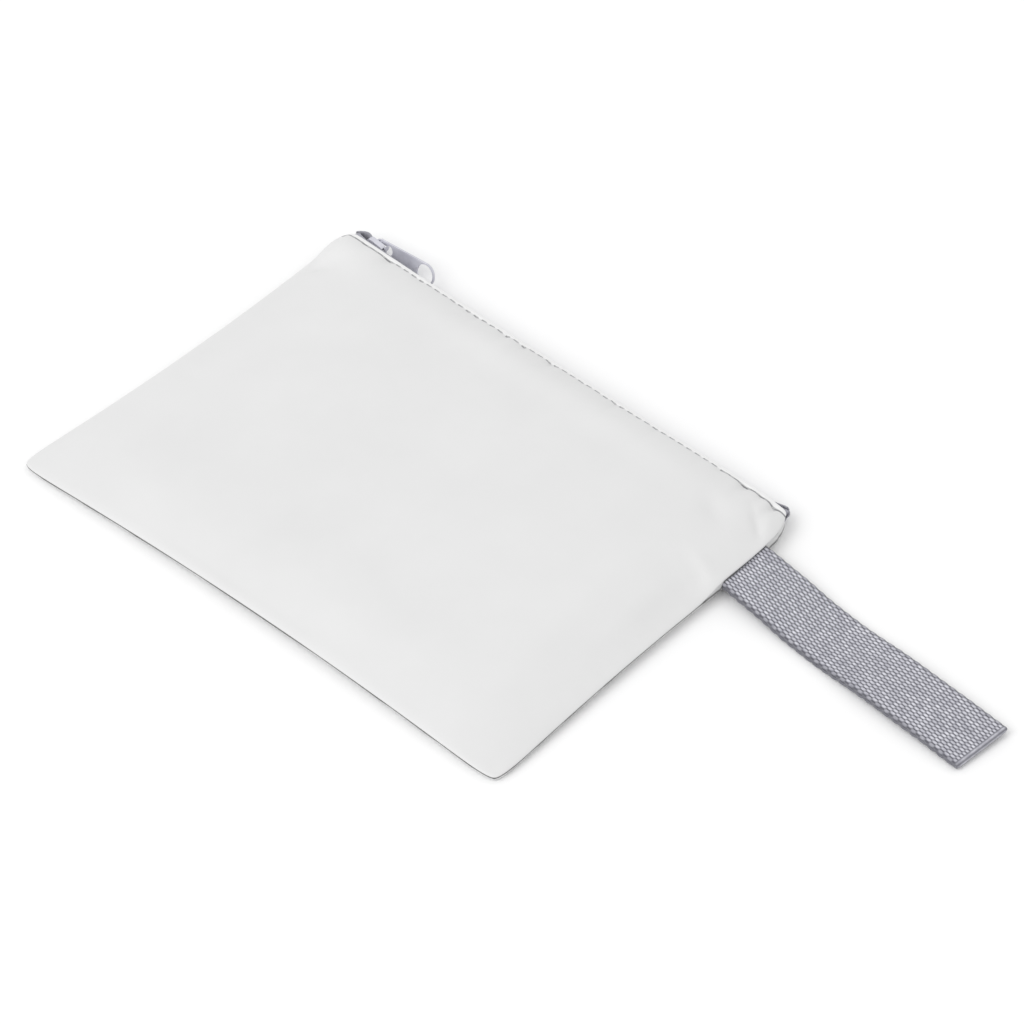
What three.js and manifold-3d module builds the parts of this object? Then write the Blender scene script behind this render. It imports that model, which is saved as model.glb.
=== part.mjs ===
// A flat zipped document pouch lying on its back, with a doubled webbing wrist strap in its right
// side seam. Millimetres, +Z up, +X along the zip towards the strap, +Y from the bottom seam to the
// zip. The origin is the middle of the pouch's underside, on the surface that it lies on.

import * as THREE from 'three';
import { mergeVertices } from 'three/addons/utils/BufferGeometryUtils.js';
import Module from 'manifold-3d';

const wasm = await Module();
wasm.setup();

// Driving sizes
const POUCH_WIDTH = 240; // between the two bottom corners
const POUCH_DEPTH = 170; // from the bottom seam to the turned edge along the zip
const CLOTH = 1; // thickness of each panel
const GAP = 0.3; // clearance between pieces that lie against each other
const SEAM_LIFT = 2; // how high the side seams float above the back panel's flat
const PUFF = 4; // rise of the front panel above the surface that its edges alone would give
const TURN_ROLL = 1.3; // drop of the front panel's turned edge over its topstitch
const TURN_WIDTH = 2.7; // width of that turned edge
const LAP = 22; // distance in which the back panel comes down from its seams to the flat

const TAPE = 0.7; // thickness of the zip's tape
const TAPE_CLEARANCE = 0.44; // from the tape to the panel that covers it
const TAPE_HIDDEN = 7; // tape inside the pouch, under the turned edge
const TAPE_TURN = 0.6; // radius of the tape's bend out of the pouch
const CHAIN_WIDTH = 5; // closed coils, across
const CHAIN_THICKNESS = 1.1;
const CHAIN_PLAY = 0.4; // flat tape beside the coils before its two bends, in all
const ZIP_END = 2; // from a side seam to the end of the tape
const CHAIN_END = 3.5; // from a side seam to the end of the coils

const SLIDER_FROM_SEAM = 14.5; // from the left corner to the middle of the slider
const SLIDER_LENGTH = 9;
const SLIDER_WIDTH = 8.4;
const SLIDER_TAIL_WIDTH = 7.2;
const SLIDER_PLATE = 0.8;
const POST_LENGTH = 2.6;
const POST_WIDTH = 1.5;
const BRIDGE_WIDTH = 1.6;
const BRIDGE_WALL = 0.7;
const BRIDGE_WINDOW = 3.2; // height of the way under the bridge
const BRIDGE_REACH = 5; // length of the way under the bridge

const PULL_LENGTH = 28.8;
const PULL_WIDTH = 9.4;
const PULL_NECK = 5.6; // width at the eye's bar
const PULL_THICKNESS = 0.9;
const PULL_HOLE = 8.2; // diameter of the round hole at the far end
const PULL_BAR = 1.1; // the eye's end bar, which the bridge holds
const EYE_LENGTH = 5.8;
const EYE_WIDTH = 4.2;
const PULL_LEAN = 16; // degrees that the pull's upper edge leans away from the zip

const STRAP_WIDTH = 25.5;
const STRAP_LENGTH = 120.4; // from the side seam to the fold at the far end
const STRAP_HIDDEN = 8; // inside the seam
const WEBBING = 1.2; // thickness of one layer
const STRAP_FROM_ZIP = 31.5; // from the zip's turned edge to the middle of the strap
const STRAP_TURN = -4.7; // degrees from +X, towards the bottom seam
const STRAP_BOW = 0.8; // how far its middle bends towards the bottom seam
const STRAP_TWIST = 1; // rise of its far edge over its near edge at the far end
const STRAP_SLACK = 0.3; // widest gap between the two layers, beyond the clearance

const ZIP_END_FADE = 12; // distance in which the zip's ends let a seam close again
const ZIP_SIDE_FADE = 40; // distance from a side seam in which the zip's rise spreads out
const ZIP_RAMP = 1.5; // how late that rise comes, as a power of the way up the pouch
const STRAP_SEAM_FADE = 7; // distance in which the side seam closes beside the strap
const STRAP_PANEL_FADE = 24; // distance into the front panel in which the strap's lift ends
const STRAP_SEAM_MARGIN = 2; // seam held open beyond each edge of the strap
const SWELL_ACROSS = 8; // how flat the filled middle is, as a power, across the pouch
const SWELL_UP = 6.5; // and up the pouch

// Worked out from the driving sizes
const TAPE_STACK = 2 * TAPE + 2 * TAPE_CLEARANCE + GAP;
const STRAP_STACK = 2 * WEBBING + 3 * GAP;
const MOUTH = CHAIN_WIDTH + CHAIN_PLAY + 2 * (TAPE_TURN + TAPE / 2 + TAPE_CLEARANCE);

// Corners of the flat cut, as shares of the pouch's width and depth, how far each is drawn in by
// its seams, within what distance, and how high it floats as a share of SEAM_LIFT.
const CORNERS = {
  bottomLeft: { across: -0.498, up: -0.5, inAcross: 1.8, inUp: 1.8, within: 4, lift: 0.1 },
  bottomRight: { across: 0.5, up: -0.5, inAcross: -2.2, inUp: 2, within: 5, lift: 0.1 },
  topLeft: { across: -0.478, up: 0.503, inAcross: 2.2, inUp: -0.6, within: 5, lift: 0.9 },
  topRight: { across: 0.492, up: 0.5, inAcross: -6.8, inUp: -1.8, within: 9.5, lift: 0.75 },
};

// How far the middle of each edge is drawn in by the filling, as a share of the width or depth
// that it draws on, and its extra lift at the middle, as a share of SEAM_LIFT.
const EDGES = {
  bottom: { draw: 0.017, lift: 0.8 },
  left: { draw: 0.017, lift: 0.6 },
  right: { draw: 0.0085, lift: 0.6 },
  zip: { draw: 0.011, lift: 0 },
};

// The zip along its length: how far the mouth between the panels stands open, from the bare tapes
// to MOUTH, where the chain lies in that mouth, how far it stands out, and the roll of the turned edge.
const ZIP_STATIONS = [
  { along: 0.0, open: 0.0, centre: 0.5, reach: 1.6, roll: 0.0 },
  { along: 0.029, open: 0.92, centre: 0.52, reach: 2.1, roll: 0.1 },
  { along: 0.046, open: 1.0, centre: 0.48, reach: 1.4, roll: 0.1 },
  { along: 0.115, open: 1.0, centre: 0.48, reach: 1.3, roll: 0.1 },
  { along: 0.24, open: 0.95, centre: 0.45, reach: 0.7, roll: 0.7 },
  { along: 0.5, open: 0.93, centre: 0.42, reach: 0.7, roll: 1.0 },
  { along: 0.78, open: 0.85, centre: 0.44, reach: 0.6, roll: 0.9 },
  { along: 0.93, open: 0.68, centre: 0.46, reach: 0.3, roll: 0.4 },
  { along: 0.97, open: 0.5, centre: 0.5, reach: 0.9, roll: 0.1 },
  { along: 1.0, open: 0.2, centre: 0.5, reach: 2.4, roll: 0.0 },
];

// Main folds and dents of the front panel: their middle as shares of the width and depth, their
// heading in degrees, half length and half width as shares of the depth, and height as a share of PUFF.
const FOLDS = [
  // Hollow at the slider's corner, and the swell over it
  { across: -0.44, up: 0.4, turn: 52, long: 0.06, wide: 0.022, rise: -0.11 },
  { across: -0.45, up: 0.455, turn: 50, long: 0.05, wide: 0.024, rise: 0.1 },
  // Crease from the zip to the strap, and the swell beside it
  { across: 0.455, up: 0.41, turn: -52, long: 0.07, wide: 0.02, rise: -0.16 },
  { across: 0.475, up: 0.425, turn: -60, long: 0.05, wide: 0.022, rise: 0.1 },
  // Fold running in from the strap, and the valley under it
  { across: 0.452, up: 0.236, turn: -22, long: 0.06, wide: 0.018, rise: 0.17 },
  { across: 0.437, up: 0.2, turn: -20, long: 0.06, wide: 0.02, rise: -0.13 },
  // Two gathers in the right seam
  { across: 0.478, up: 0.06, turn: 12, long: 0.045, wide: 0.026, rise: -0.1 },
  { across: 0.482, up: -0.09, turn: 6, long: 0.04, wide: 0.026, rise: -0.08 },
  // Dent at the left seam, and a dip by the turned edge
  { across: -0.44, up: 0.03, turn: 35, long: 0.04, wide: 0.018, rise: -0.06 },
  { across: 0.11, up: 0.42, turn: 30, long: 0.05, wide: 0.03, rise: -0.05 },
];

// The strap's underside along its length, as shares of its height at the seam.
const STRAP_WAVE = [
  { along: 0.0, rise: 1.0 },
  { along: 0.14, rise: 0.72 },
  { along: 0.3, rise: 0.1 },
  { along: 0.4, rise: 0.0 },
  { along: 0.62, rise: 0.42 },
  { along: 0.82, rise: 0.36 },
  { along: 1.0, rise: 0.08 },
];

const PANEL_STEPS_ACROSS = 34; // the zip's pieces step with the panels
const PANEL_STEPS_UP = 25;
const STEP_BUNCHING = 0.6; // 0 spaces a panel's steps evenly, 1 crowds them at its edges
const STRAP_STEPS = 32;

// Small helpers
const lerp = (from, to, share) => from + (to - from) * share;
const clamp01 = (value) => Math.min(1, Math.max(0, value));
const ease = (value) => clamp01(value) ** 2 * (3 - 2 * clamp01(value));
const hump = (share) => 4 * share * (1 - share);

// Reads one column of a table of stations, with a soft turn at each station.
function readColumn(table, column, along) {
  const next = table.findIndex((row) => row.along >= along);
  if (next <= 0) return table[Math.max(next, 0)][column];
  const before = table[next - 1];
  const after = table[next];
  return lerp(before[column], after[column], ease((along - before.along) / (after.along - before.along)));
}

function panelStations(steps) {
  return Array.from({ length: steps + 1 }, (_, k) => {
    const even = k / steps;
    const bunched = 0.5 - 0.5 * Math.cos(Math.PI * even);
    return lerp(even, bunched, STEP_BUNCHING);
  });
}

// A closed skin around a grid of cross-sections: each row of rings is one closed loop of points.
function loftGeometry(rings) {
  const loop = rings[0].length;
  const positions = rings.flat().flatMap((point) => [point.x, point.y, point.z]);
  const triangles = [];
  for (let i = 0; i < rings.length - 1; i += 1) {
    for (let j = 0; j < loop; j += 1) {
      const a = i * loop + j;
      const b = i * loop + ((j + 1) % loop);
      triangles.push(a, b, b + loop, a, b + loop, a + loop);
    }
  }
  const last = (rings.length - 1) * loop;
  const half = loop / 2;
  for (let j = 0; j < half - 1; j += 1) {
    const near = [j, loop - 1 - j, loop - 2 - j, j + 1];
    triangles.push(near[0], near[1], near[2], near[0], near[2], near[3]);
    const far = near.map((index) => index + last);
    triangles.push(far[0], far[2], far[1], far[0], far[3], far[2]);
  }
  return outwardGeometry(positions, triangles);
}

// Builds the mesh and turns it so that its faces point outwards.
function outwardGeometry(positions, triangles) {
  const geometry = new THREE.BufferGeometry();
  geometry.setAttribute('position', new THREE.Float32BufferAttribute(positions, 3));
  const point = (index) => new THREE.Vector3().fromArray(positions, 3 * index);
  let volume = 0;
  for (let t = 0; t < triangles.length; t += 3) {
    const [a, b, c] = triangles.slice(t, t + 3).map(point);
    volume += a.dot(b.cross(c));
  }
  geometry.setIndex(volume > 0 ? triangles : triangles.reverse());
  geometry.computeVertexNormals();
  return geometry;
}

// Outline of the flat pouch
function cornerPoint(corner) {
  return new THREE.Vector2(corner.across * POUCH_WIDTH, corner.up * POUCH_DEPTH);
}

// An edge runs straight between two corners, is drawn in at its middle, and is blunt at its ends.
function edgePoint(start, end, share, draw) {
  const from = cornerPoint(start);
  const to = cornerPoint(end);
  const point = from.clone().lerp(to, share).add(draw.clone().multiplyScalar(hump(share)));
  for (const [corner, away] of [[start, share], [end, 1 - share]]) {
    const fade = Math.exp((-away * from.distanceTo(to)) / corner.within);
    point.add(new THREE.Vector2(corner.inAcross, corner.inUp).multiplyScalar(fade));
  }
  return point;
}

const { bottomLeft, bottomRight, topLeft, topRight } = CORNERS;
const drawUp = (share) => new THREE.Vector2(0, share * POUCH_DEPTH);
const drawAcross = (share) => new THREE.Vector2(share * POUCH_WIDTH, 0);
const OUTLINE = {
  bottom: (u) => edgePoint(bottomLeft, bottomRight, u, drawUp(EDGES.bottom.draw)),
  zip: (u) => edgePoint(topLeft, topRight, u, drawUp(-EDGES.zip.draw)),
  left: (v) => edgePoint(bottomLeft, topLeft, v, drawAcross(EDGES.left.draw)),
  right: (v) => edgePoint(bottomRight, topRight, v, drawAcross(-EDGES.right.draw)),
};

// Carries values on the four edges smoothly over the whole panel.
function spread(edges, u, v, plus, times) {
  const along = plus(times(edges.bottom(u), 1 - v), times(edges.zip(u), v));
  const across = plus(times(edges.left(v), 1 - u), times(edges.right(v), u));
  const corners = [
    times(edges.bottom(0), (1 - u) * (1 - v)),
    times(edges.bottom(1), u * (1 - v)),
    times(edges.zip(0), (1 - u) * v),
    times(edges.zip(1), u * v),
  ].reduce(plus);
  return plus(plus(along, across), times(corners, -1));
}

const spreadNumber = (edges, u, v) => spread(edges, u, v, (a, b) => a + b, (a, k) => a * k);
const spreadPoint = (edges, u, v) => spread(
  edges,
  u,
  v,
  (a, b) => a.clone().add(b),
  (a, k) => a.clone().multiplyScalar(k),
);

// Heights of the panels' inner faces along the edges
function seamLift(start, end, share, edge) {
  return SEAM_LIFT * (lerp(start.lift, end.lift, share) + edge.lift * hump(share));
}

// 1 within a distance of a place, down to 0 over a further soft margin.
function plateau(distance, flat, margin) {
  return 1 - ease((Math.abs(distance) - flat) / margin);
}

const ZIP_LENGTH = OUTLINE.zip(0).distanceTo(OUTLINE.zip(1));

const BACK_EDGES = {
  bottom: (u) => CLOTH + seamLift(bottomLeft, bottomRight, u, EDGES.bottom),
  left: (v) => CLOTH + seamLift(bottomLeft, topLeft, v, EDGES.left),
  right: (v) => CLOTH + seamLift(bottomRight, topRight, v, EDGES.right),
  zip: (u) => {
    const fromLeft = plateau(u * ZIP_LENGTH, 0, ZIP_END_FADE);
    const fromRight = plateau((1 - u) * ZIP_LENGTH, 0, ZIP_END_FADE);
    return CLOTH + SEAM_LIFT * (topLeft.lift * fromLeft + topRight.lift * fromRight);
  },
};

function zipShare(column, u) {
  return readColumn(ZIP_STATIONS, column, u);
}

// How far the panels stand apart along the zip, and how that fades over the front panel: quickly down
// the side seams, which the bare tape ends open, and all the way to the bottom seam in between.
function zipOpening(u) {
  return lerp(TAPE_STACK, MOUTH, zipShare('open', u));
}

function zipRise(u, v) {
  const fromZip = (1 - v) * POUCH_DEPTH;
  const atSeam = plateau(fromZip, TAPE_HIDDEN + GAP, ZIP_END_FADE);
  const inward = ease((Math.min(u, 1 - u) * POUCH_WIDTH) / ZIP_SIDE_FADE);
  return (zipOpening(u) - GAP) * lerp(atSeam, v ** ZIP_RAMP, inward);
}

// How far the strap's two layers lift the front panel where they enter the right seam.
function strapRise(u, v) {
  const fromStrap = (1 - v) * POUCH_DEPTH - STRAP_FROM_ZIP;
  const inward = plateau((1 - u) * POUCH_WIDTH, STRAP_HIDDEN, STRAP_PANEL_FADE);
  const beside = plateau(fromStrap, STRAP_WIDTH / 2 + STRAP_SEAM_MARGIN, STRAP_SEAM_FADE);
  return (STRAP_STACK - GAP) * beside * inward;
}

// 0 on every edge, 1 over the middle of the pouch.
function pillow(u, v) {
  const swell = (share, sharpness) => 1 - Math.abs(2 * share - 1) ** sharpness;
  return swell(u, SWELL_ACROSS) * swell(v, SWELL_UP);
}

function foldRise(x, y) {
  let rise = 0;
  for (const fold of FOLDS) {
    const turn = THREE.MathUtils.degToRad(fold.turn);
    const dx = x - fold.across * POUCH_WIDTH;
    const dy = y - fold.up * POUCH_DEPTH;
    const along = (dx * Math.cos(turn) + dy * Math.sin(turn)) / (fold.long * POUCH_DEPTH);
    const aside = (dy * Math.cos(turn) - dx * Math.sin(turn)) / (fold.wide * POUCH_DEPTH);
    rise += fold.rise * PUFF * Math.exp(-(along ** 2) - aside ** 2);
  }
  return rise;
}

function backInner(u, v) {
  const place = spreadPoint(OUTLINE, u, v);
  const edge = spreadNumber(BACK_EDGES, u, v);
  const flat = ease((u * POUCH_WIDTH) / LAP) * ease(((1 - u) * POUCH_WIDTH) / LAP)
    * ease((v * POUCH_DEPTH) / LAP) * ease(((1 - v) * POUCH_DEPTH) / LAP);
  return new THREE.Vector3(place.x, place.y, lerp(edge, CLOTH, flat));
}

function frontInner(u, v) {
  const place = spreadPoint(OUTLINE, u, v);
  const swell = pillow(u, v);
  const seams = spreadNumber(BACK_EDGES, u, v) + GAP + zipRise(u, v) + strapRise(u, v);
  const fromTurn = ((1 - v) * POUCH_DEPTH) / TURN_WIDTH;
  const roll = TURN_ROLL * zipShare('roll', u) * (1 - Math.exp(-(fromTurn ** 2)));
  const mask = clamp01(swell * 3);
  const height = seams + PUFF * swell + roll * ease(v * 2) + foldRise(place.x, place.y) * mask;
  return new THREE.Vector3(place.x, place.y, height);
}

// The way out of the cloth at a place of a panel, measured on its inner face.
function panelNormal(inner, u, v, side) {
  const step = 1e-3;
  const along = (du, dv) => inner(clamp01(u + du), clamp01(v + dv));
  const acrossWay = along(step, 0).sub(along(-step, 0));
  const upWay = along(0, step).sub(along(0, -step));
  return acrossWay.cross(upWay).normalize().multiplyScalar(side);
}

function panelGeometry(inner, side) {
  const us = panelStations(PANEL_STEPS_ACROSS);
  const vs = panelStations(PANEL_STEPS_UP);
  const rings = us.map((u) => {
    const inside = vs.map((v) => inner(u, v));
    const outside = vs.map((v) => inner(u, v).addScaledVector(panelNormal(inner, u, v, side), CLOTH));
    return [...inside, ...outside.reverse()];
  });
  return loftGeometry(rings);
}

// The zip's cross-section stands on the turned edge: outward is away from the pouch, square to the
// edge, and the chain's middle is at height middle.
function zipFrame(u) {
  const step = 1e-3;
  const edge = OUTLINE.zip(u);
  const way = OUTLINE.zip(clamp01(u + step)).sub(OUTLINE.zip(clamp01(u - step))).normalize();
  const low = BACK_EDGES.zip(u);
  const opening = zipOpening(u);
  return {
    edge: new THREE.Vector3(edge.x, edge.y, 0),
    along: new THREE.Vector3(way.x, way.y, 0),
    outward: new THREE.Vector3(-way.y, way.x, 0),
    low,
    high: low + opening,
    middle: low + opening * zipShare('centre', u),
    reach: zipShare('reach', u),
  };
}

// One tape's path on one side of the chain: side 1 is the front panel's, side -1 the back panel's.
function tapeBend(frame, side) {
  const room = (side > 0 ? frame.high - frame.middle : frame.middle - frame.low) - TAPE_CLEARANCE - TAPE / 2;
  const radius = Math.min(TAPE_TURN, room);
  return { radius, upright: room - radius, start: frame.reach - radius };
}

// A place on the bend or the upright stretch, by its distance from the chain's centre line.
function tapePlace(frame, side, distance, stand) {
  const { radius, upright, start } = tapeBend(frame, side);
  const angle = Math.max(0, distance - upright) / radius;
  const outward = start + (radius + stand) * Math.cos(angle);
  const rise = Math.min(distance, upright) + (radius + stand) * Math.sin(angle);
  return frame.edge.clone()
    .addScaledVector(frame.outward, outward)
    .add(new THREE.Vector3(0, 0, frame.middle + side * rise));
}

function tapeSection(u, side) {
  const frame = zipFrame(u);
  const inner = side > 0 ? frontInner : backInner;
  const hiddenSteps = 3;
  const bendSteps = 3;
  const { radius, upright } = tapeBend(frame, side);
  const layer = (stand) => {
    const hidden = Array.from({ length: hiddenSteps }, (_, k) => {
      const v = 1 - (TAPE_HIDDEN / POUCH_DEPTH) * (1 - k / hiddenSteps);
      return inner(u, v).add(new THREE.Vector3(0, 0, side * (stand - TAPE_CLEARANCE - TAPE / 2)));
    });
    const bend = Array.from({ length: bendSteps + 1 }, (_, k) => {
      const distance = upright + radius * (Math.PI / 2) * (1 - k / bendSteps);
      return tapePlace(frame, side, distance, stand);
    });
    return [...hidden, ...bend, tapePlace(frame, side, GAP / 2, stand)];
  };
  return [...layer(TAPE / 2), ...layer(-TAPE / 2).reverse()];
}

function zipStations(endGap) {
  const end = endGap / ZIP_LENGTH;
  const first = end + GAP / ZIP_LENGTH;
  const between = panelStations(PANEL_STEPS_ACROSS).filter((u) => u > first && u < 1 - first);
  return [end, ...between, 1 - end];
}

function coilSection(u) {
  const frame = zipFrame(u);
  const stepsEachWay = 3;
  const layer = (stand) => {
    const points = [];
    for (const side of [1, -1]) {
      const { radius, upright } = tapeBend(frame, side);
      const half = Math.min(CHAIN_WIDTH / 2, upright + (radius * Math.PI) / 3);
      for (let k = 0; k <= stepsEachWay; k += 1) {
        const share = side > 0 ? 1 - k / stepsEachWay : k / stepsEachWay;
        if (side > 0 || k > 0) points.push(tapePlace(frame, side, half * share, stand));
      }
    }
    return points;
  };
  const near = TAPE / 2 + GAP;
  return [...layer(near + CHAIN_THICKNESS), ...layer(near).reverse()];
}

// Solids for the cuts and joins
function toSolid(geometry) {
  const bare = (geometry.index ? geometry.toNonIndexed() : geometry.clone());
  bare.deleteAttribute('normal');
  bare.deleteAttribute('uv');
  const merged = mergeVertices(bare, 1e-4);
  return new wasm.Manifold(new wasm.Mesh({
    numProp: 3,
    vertProperties: new Float32Array(merged.attributes.position.array),
    triVerts: new Uint32Array(merged.index.array),
  }));
}

function toGeometry(solid) {
  const mesh = solid.getMesh();
  const geometry = new THREE.BufferGeometry();
  geometry.setAttribute('position', new THREE.Float32BufferAttribute(mesh.vertProperties, 3));
  geometry.setIndex(Array.from(mesh.triVerts));
  geometry.computeVertexNormals();
  return geometry;
}

// Places a geometry that is drawn in the slider's own frame into the pouch's frame.
const SLIDER_SHARE = SLIDER_FROM_SEAM / ZIP_LENGTH;
const sliderFrame = zipFrame(SLIDER_SHARE);
const sliderPlace = new THREE.Matrix4()
  .makeBasis(sliderFrame.along, sliderFrame.outward, new THREE.Vector3(0, 0, 1))
  .setPosition(
    sliderFrame.edge.clone()
      .addScaledVector(sliderFrame.outward, sliderFrame.reach)
      .setZ(sliderFrame.middle),
  );

// The slider is drawn with +X along the chain, +Y out of the zip and +Z across the chain, from the
// middle of the tape's thickness.
const OUTER_PLATE_FACE = TAPE / 2 + GAP + CHAIN_THICKNESS + GAP;
const BRIDGE_FOOT = OUTER_PLATE_FACE + SLIDER_PLATE;
const FLANGE_FACE = TAPE / 2 + GAP;

// A flat shape in the slider's X and Z, given a thickness from one Y to another.
function slab(shape, fromY, toY, curveSegments = 6) {
  const geometry = new THREE.ExtrudeGeometry(shape, { depth: toY - fromY, bevelEnabled: false, curveSegments });
  geometry.rotateX(Math.PI / 2);
  geometry.translate(0, toY, 0);
  return geometry;
}

function sliderOutline(headWidth, tailWidth, length) {
  const head = headWidth / 2;
  const tail = tailWidth / 2;
  const corner = Math.min(head, tail) * 0.7;
  const half = length / 2;
  const shape = new THREE.Shape();
  shape.moveTo(-half + corner, -head);
  shape.lineTo(half - corner, -tail);
  shape.quadraticCurveTo(half, -tail, half, 0);
  shape.quadraticCurveTo(half, tail, half - corner, tail);
  shape.lineTo(-half + corner, head);
  shape.quadraticCurveTo(-half, head, -half, 0);
  shape.quadraticCurveTo(-half, -head, -half + corner, -head);
  return shape;
}

function postShape(clearance) {
  const shape = new THREE.Shape();
  const middle = -SLIDER_LENGTH / 2 + POST_LENGTH / 2 + SLIDER_PLATE;
  shape.absellipse(middle, 0, POST_LENGTH / 2 + clearance, POST_WIDTH / 2 + clearance, 0, Math.PI * 2);
  return shape;
}

function bridgeSolid() {
  const shape = new THREE.Shape();
  const inside = BRIDGE_REACH / 2;
  const outside = inside + BRIDGE_WALL;
  const top = BRIDGE_WINDOW + BRIDGE_WALL;
  const round = BRIDGE_WINDOW * 0.7;
  const sunk = SLIDER_PLATE / 2;
  shape.moveTo(-outside, -sunk);
  shape.lineTo(-outside, top - round);
  shape.quadraticCurveTo(-outside, top, -outside + round, top);
  shape.lineTo(outside - round, top);
  shape.quadraticCurveTo(outside, top, outside, top - round);
  shape.lineTo(outside, -sunk);
  shape.lineTo(inside, -sunk);
  shape.lineTo(inside, BRIDGE_WINDOW - round / 2);
  shape.quadraticCurveTo(inside, BRIDGE_WINDOW, inside - round / 2, BRIDGE_WINDOW);
  shape.lineTo(-inside + round / 2, BRIDGE_WINDOW);
  shape.quadraticCurveTo(-inside, BRIDGE_WINDOW, -inside, BRIDGE_WINDOW - round / 2);
  shape.lineTo(-inside, -sunk);
  shape.closePath();
  const geometry = new THREE.ExtrudeGeometry(shape, { depth: BRIDGE_WIDTH, bevelEnabled: false, curveSegments: 4 });
  geometry.translate(0, BRIDGE_FOOT, -BRIDGE_WIDTH / 2);
  return toSolid(geometry);
}

function sliderGeometry() {
  const outline = sliderOutline(SLIDER_WIDTH, SLIDER_TAIL_WIDTH, SLIDER_LENGTH);
  const outer = toSolid(slab(outline, FLANGE_FACE, BRIDGE_FOOT));
  const channel = new THREE.BoxGeometry(2 * SLIDER_LENGTH, OUTER_PLATE_FACE, CHAIN_WIDTH + 2 * GAP);
  channel.translate(0, OUTER_PLATE_FACE / 2, 0);
  const innerWidth = CHAIN_WIDTH - 2 * GAP;
  const innerOutline = sliderOutline(innerWidth, innerWidth, SLIDER_LENGTH);
  const inner = toSolid(slab(innerOutline, -FLANGE_FACE - SLIDER_PLATE, -FLANGE_FACE));
  const sunk = SLIDER_PLATE / 2;
  const post = toSolid(slab(postShape(0), -FLANGE_FACE - sunk, OUTER_PLATE_FACE + sunk, 5));
  const solid = outer.subtract(toSolid(channel)).add(inner).add(post).add(bridgeSolid());
  return toGeometry(solid);
}

// The way that the post takes through the tapes and the chain.
function postWay() {
  const way = slab(postShape(GAP), -2 * FLANGE_FACE, 2 * OUTER_PLATE_FACE, 5);
  way.applyMatrix4(sliderPlace);
  return toSolid(way);
}

function tapeGeometry(side) {
  const tape = loftGeometry(zipStations(ZIP_END).map((u) => tapeSection(u, side)));
  return toGeometry(toSolid(tape).subtract(postWay()));
}

function coilGeometry() {
  const coil = loftGeometry(zipStations(CHAIN_END).map(coilSection));
  return toGeometry(toSolid(coil).subtract(postWay()));
}

// The pull is drawn flat from its bar, which turns on the bridge, with +X towards its round end.
function pullGeometry() {
  const neck = PULL_NECK / 2;
  const broad = PULL_WIDTH / 2;
  const end = PULL_LENGTH - PULL_BAR / 2;
  const roundCentre = end - broad;
  const shoulder = PULL_BAR / 2 + EYE_LENGTH;
  const shape = new THREE.Shape();
  shape.moveTo(-PULL_BAR / 2, -neck);
  shape.lineTo(roundCentre, -broad);
  shape.absarc(roundCentre, 0, broad, -Math.PI / 2, Math.PI / 2, false);
  shape.lineTo(-PULL_BAR / 2, neck);
  shape.closePath();
  const eye = new THREE.Path();
  const eyeHalf = EYE_WIDTH / 2;
  eye.moveTo(PULL_BAR / 2, -eyeHalf);
  eye.lineTo(PULL_BAR / 2, eyeHalf);
  eye.lineTo(shoulder - eyeHalf, eyeHalf);
  eye.absarc(shoulder - eyeHalf, 0, eyeHalf, Math.PI / 2, -Math.PI / 2, true);
  eye.closePath();
  const hole = new THREE.Path();
  hole.absarc(roundCentre, 0, PULL_HOLE / 2, 0, Math.PI * 2, true);
  shape.holes.push(eye, hole);
  return slab(shape, -PULL_THICKNESS / 2, PULL_THICKNESS / 2, 10);
}

// The strap leaves the right seam at a point of that seam, and its two layers follow one path.
const strapShare = 1 - STRAP_FROM_ZIP / POUCH_DEPTH;
const strapStart = OUTLINE.right(strapShare);
const strapSeat = BACK_EDGES.right(strapShare) + GAP;
const strapTurn = THREE.MathUtils.degToRad(STRAP_TURN);
const strapWay = new THREE.Vector3(Math.cos(strapTurn), Math.sin(strapTurn), 0);
const strapAside = new THREE.Vector3(-strapWay.y, strapWay.x, 0);

function strapUnderside(share) {
  return strapSeat * readColumn(STRAP_WAVE, 'rise', clamp01(share));
}

function strapSlack(share) {
  return GAP + STRAP_SLACK * hump(clamp01(share)) ** 2;
}

// Middle of one layer's thickness at a distance from the seam: layer 0 is the lower, 1 the upper.
function strapPlace(distance, layer) {
  const share = distance / STRAP_LENGTH;
  const height = strapUnderside(share) + WEBBING / 2 + layer * (WEBBING + strapSlack(share));
  return new THREE.Vector3(distance, 0, height);
}

function strapPath() {
  const bend = (WEBBING + GAP) / 2;
  const straight = STRAP_LENGTH - bend - WEBBING / 2;
  const distances = Array.from({ length: STRAP_STEPS + 1 }, (_, k) => lerp(-STRAP_HIDDEN, straight, k / STRAP_STEPS));
  const lower = distances.map((distance) => strapPlace(distance, 0));
  const upper = distances.map((distance) => strapPlace(distance, 1)).reverse();
  const foldSteps = 8;
  const last = lower[lower.length - 1];
  const radius = (upper[0].z - last.z) / 2;
  const fold = Array.from({ length: foldSteps - 1 }, (_, k) => {
    const angle = -Math.PI / 2 + (Math.PI * (k + 1)) / foldSteps;
    return new THREE.Vector3(
      last.x + radius * Math.cos(angle),
      0,
      last.z + radius + radius * Math.sin(angle),
    );
  });
  return [...lower, ...fold, ...upper];
}

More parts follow.
